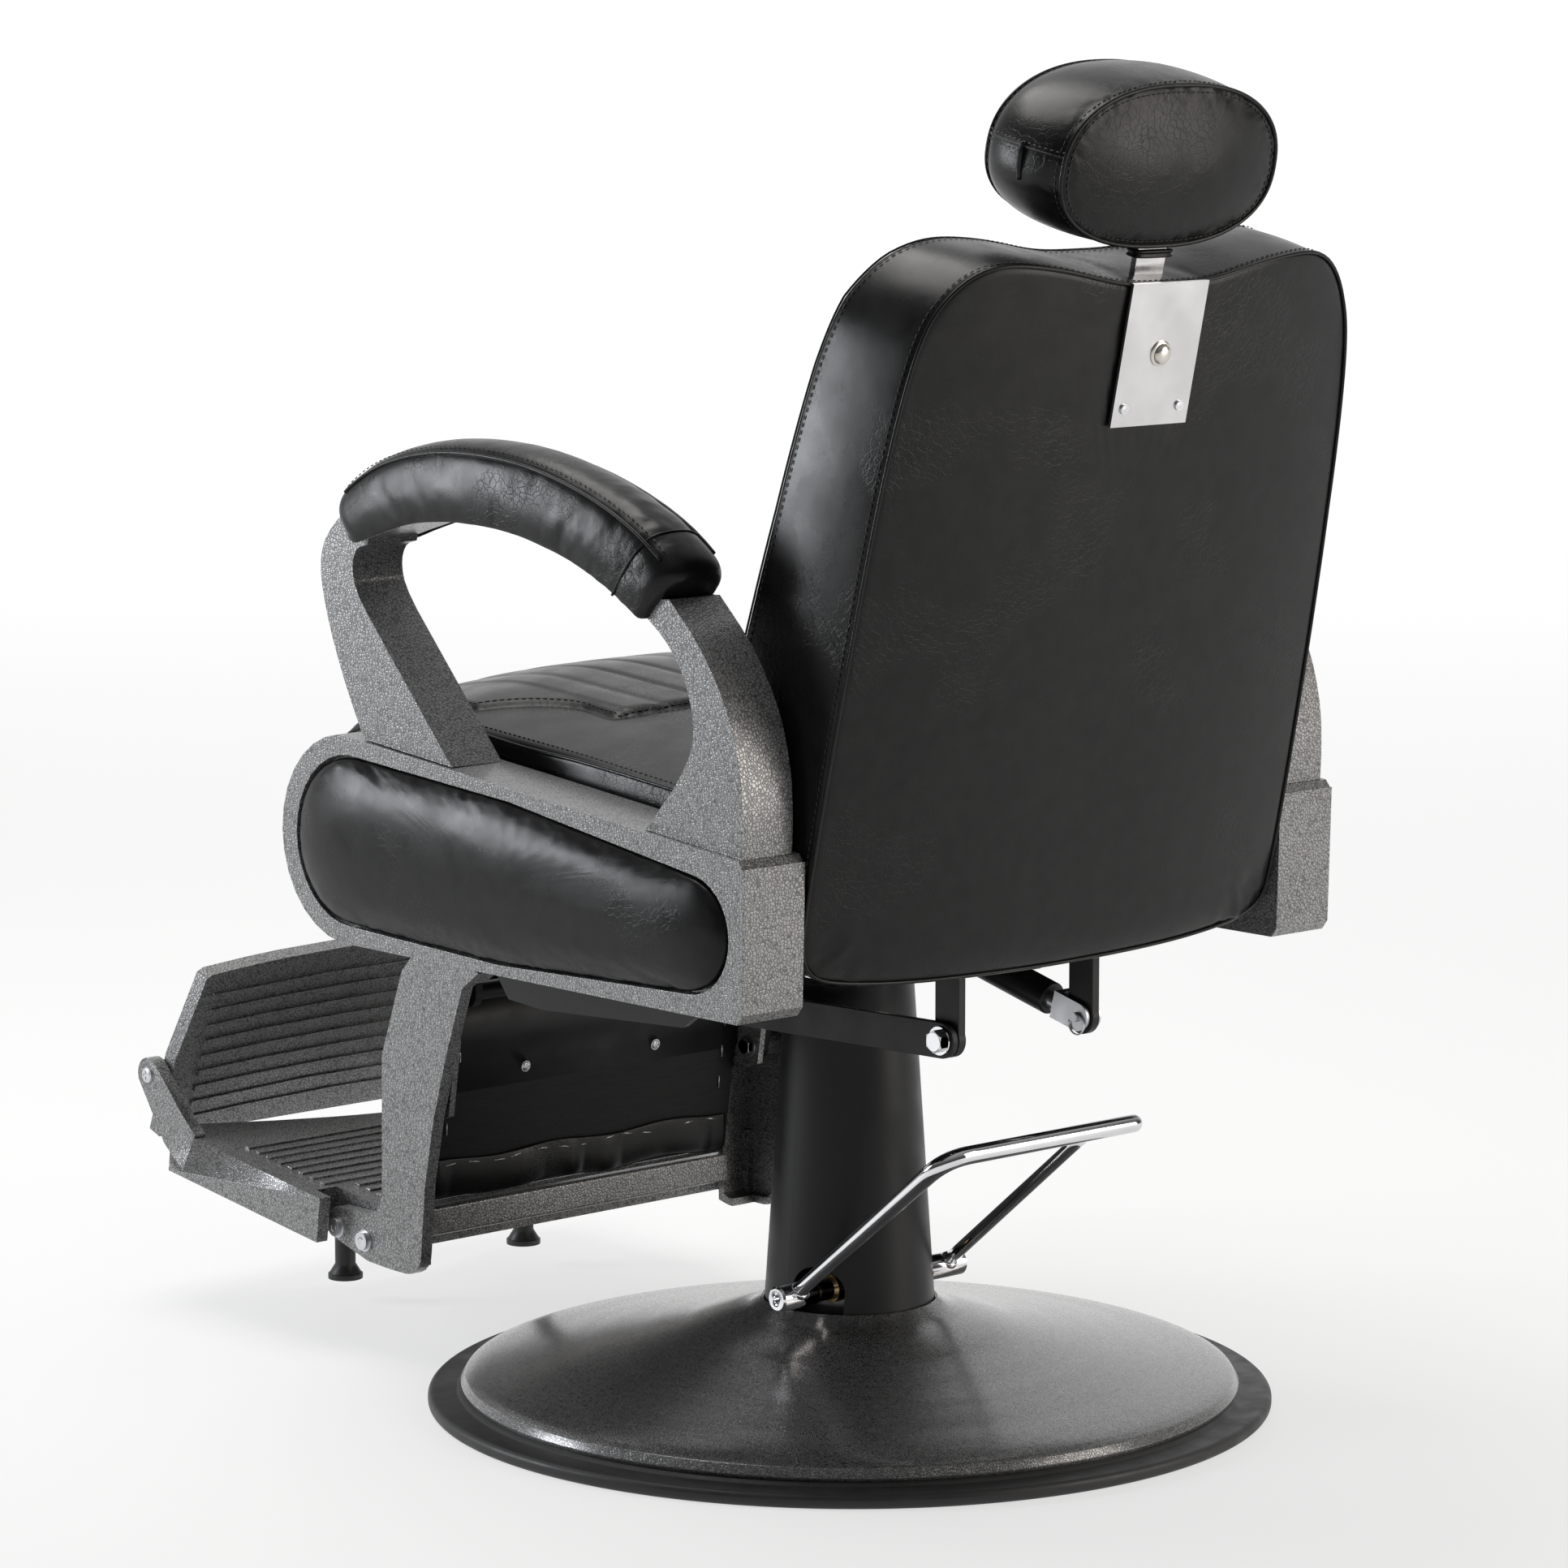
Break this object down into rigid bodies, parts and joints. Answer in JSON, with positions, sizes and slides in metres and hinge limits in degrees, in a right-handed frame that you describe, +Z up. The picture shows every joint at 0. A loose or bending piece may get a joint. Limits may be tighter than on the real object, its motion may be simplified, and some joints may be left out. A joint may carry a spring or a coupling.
{
  "type": "hydraulic barber chair",
  "caption": "Foot-pumped barber chair: round base, swivelling seat, looped cast arms, reclining back linked to a legrest, flip-over foot panel and sliding headrest.",
  "frame": {"origin": "column axis at floor level, on the underside of the base plate", "axes": "+Z up, the sitter faces -Y, +X is the sitter's left"},
  "size_m": [0.7239, 1.109, 1.1462],
  "materials": {
    "hammered_casting": "hammered silver-vein powder coat",
    "dome_paint": "fine textured dark powder coat",
    "satin_black_steel": "satin black powder coat",
    "black_leather": "semi-gloss synthetic leather",
    "chrome": "polished chrome",
    "polished_plate": "polished stainless",
    "zinc": "bright zinc plate",
    "nickel": "satin nickel",
    "raw_steel": "machined steel",
    "black_rubber": "moulded matt rubber",
    "bronze": "plain bronze",
    "plywood": "plywood",
    "black_board": "black painted board",
    "black_plastic": "moulded black grip"
  },
  "bodies": {
    "base": {"base_plate": "raw_steel", "base_ring": "black_rubber", "base_dome": "dome_paint", "pump_housing": "raw_steel", "pump_bolts": "zinc", "column_cover": "satin_black_steel", "column_gland": "raw_steel", "pedal_bushes": "bronze"},
    "plunger": {"pump_plunger": "raw_steel"},
    "pedal": {"pedal_axle": "chrome", "pedal_bar": "chrome"},
    "lift": {"ram": "chrome", "thrust_washer": "bronze"},
    "seat": {"seat_mount": "raw_steel", "seat_frame": "satin_black_steel", "seat_pan": "plywood", "seat_cushion": "black_leather", "pivot_pins": "zinc", "seat_fasteners": "zinc", "side_panel_left": "hammered_casting", "side_panel_right": "hammered_casting", "side_pad_left": "black_leather", "side_pad_right": "black_leather", "arm_frame_left": "hammered_casting", "arm_frame_right": "hammered_casting", "arm_pad_left": "black_leather", "arm_pad_right": "black_leather"},
    "lever": {"recline_lever": "satin_black_steel", "lever_grip": "black_plastic"},
    "back": {"back_frame": "satin_black_steel", "back_board": "plywood", "back_rear_panel": "black_leather", "back_cushion": "black_leather", "headrest_bracket": "polished_plate", "plate_screws": "zinc", "link_bolt": "zinc"},
    "button": {"headrest_button": "nickel"},
    "headrest": {"headrest_bar": "polished_plate", "headrest_sleeve": "black_leather", "headrest_cushion": "black_leather"},
    "link": {"link_bar": "satin_black_steel"},
    "spring_rod": {"spring_rod": "chrome"},
    "spring_tube": {"spring_cylinder": "satin_black_steel", "spring_clevis": "zinc", "clevis_pin": "zinc"},
    "legrest": {"leg_bracket_left": "hammered_casting", "leg_bracket_right": "hammered_casting", "leg_arm_left": "satin_black_steel", "leg_arm_right": "satin_black_steel", "leg_shaft": "satin_black_steel", "leg_cross_bar": "hammered_casting", "calf_board": "black_board", "calf_pad": "black_leather", "leg_fasteners": "zinc", "footplate": "hammered_casting", "foot_bumpers": "black_rubber"},
    "flip": {"flip_panel": "hammered_casting", "flip_pad": "black_leather", "flip_pins": "zinc"}
  },
  "joints": [
    {"name": "chair_lift", "type": "slide", "parent": "base", "child": "lift", "axis": [0, 0, 1], "range_m": [0, 0.15]},
    {"name": "seat_swivel", "type": "hinge", "parent": "lift", "child": "seat", "pos_m": [0, 0, 0.383], "axis": [0, 0, 1], "continuous": true},
    {"name": "pedal_press", "type": "hinge", "parent": "base", "child": "pedal", "pos_m": [0, 0.025, 0.107], "axis": [-1, 0, 0], "range_deg": [0, 20], "stiffness_Nm_per_rad": 16, "springref_deg": -20.05},
    {"name": "plunger_stroke", "type": "slide", "parent": "base", "child": "plunger", "axis": [0, 0, -1], "range_m": [0, 0.0058]},
    {"name": "back_recline", "type": "hinge", "parent": "seat", "child": "back", "pos_m": [0, 0.21, 0.445], "axis": [-1, 0, 0], "range_deg": [0, 48]},
    {"name": "legrest_swing", "type": "hinge", "parent": "seat", "child": "legrest", "pos_m": [0, -0.29, 0.41], "axis": [-1, 0, 0], "range_deg": [0, 61]},
    {"name": "link_turn", "type": "hinge", "parent": "back", "child": "link", "pos_m": [0.085, 0.204, 0.352], "axis": [-1, 0, 0], "range_deg": [-51, 0]},
    {"name": "spring_tilt", "type": "hinge", "parent": "seat", "child": "spring_rod", "pos_m": [-0.077, -0.11, 0.43], "axis": [-1, 0, 0], "range_deg": [-4, 0]},
    {"name": "spring_stroke", "type": "slide", "parent": "spring_rod", "child": "spring_tube", "axis": [0, 0.9705, -0.2411], "range_m": [-0.08, 0]},
    {"name": "headrest_slide", "type": "slide", "parent": "back", "child": "headrest", "axis": [0, 0.2147, 0.9767], "range_m": [0, 0.1]},
    {"name": "headrest_release", "type": "slide", "parent": "back", "child": "button", "axis": [0, -0.9767, 0.2147], "range_m": [0, 0.003], "stiffness_N_per_m": 900, "springref_m": -0.002},
    {"name": "recline_release", "type": "hinge", "parent": "seat", "child": "lever", "pos_m": [-0.25, -0.06, 0.38], "axis": [1, 0, 0], "range_deg": [0, 18], "stiffness_Nm_per_rad": 6, "springref_deg": -17.19},
    {"name": "foot_panel_flip", "type": "hinge", "parent": "legrest", "child": "flip", "pos_m": [0, -0.691, 0.212], "axis": [-1, 0, 0], "range_deg": [0, 80]}
  ],
  "couplings": [
    {"joint": "plunger_stroke", "follows": "pedal_press", "m_per_rad": 0.0161},
    {"joint": "legrest_swing", "follows": "back_recline", "ratio": 1.26},
    {"joint": "link_turn", "follows": "back_recline", "ratio": -1.0185},
    {"joint": "spring_tilt", "follows": "back_recline", "ratio": -0.0572},
    {"joint": "spring_stroke", "follows": "back_recline", "m_per_rad": -0.0887}
  ]
}
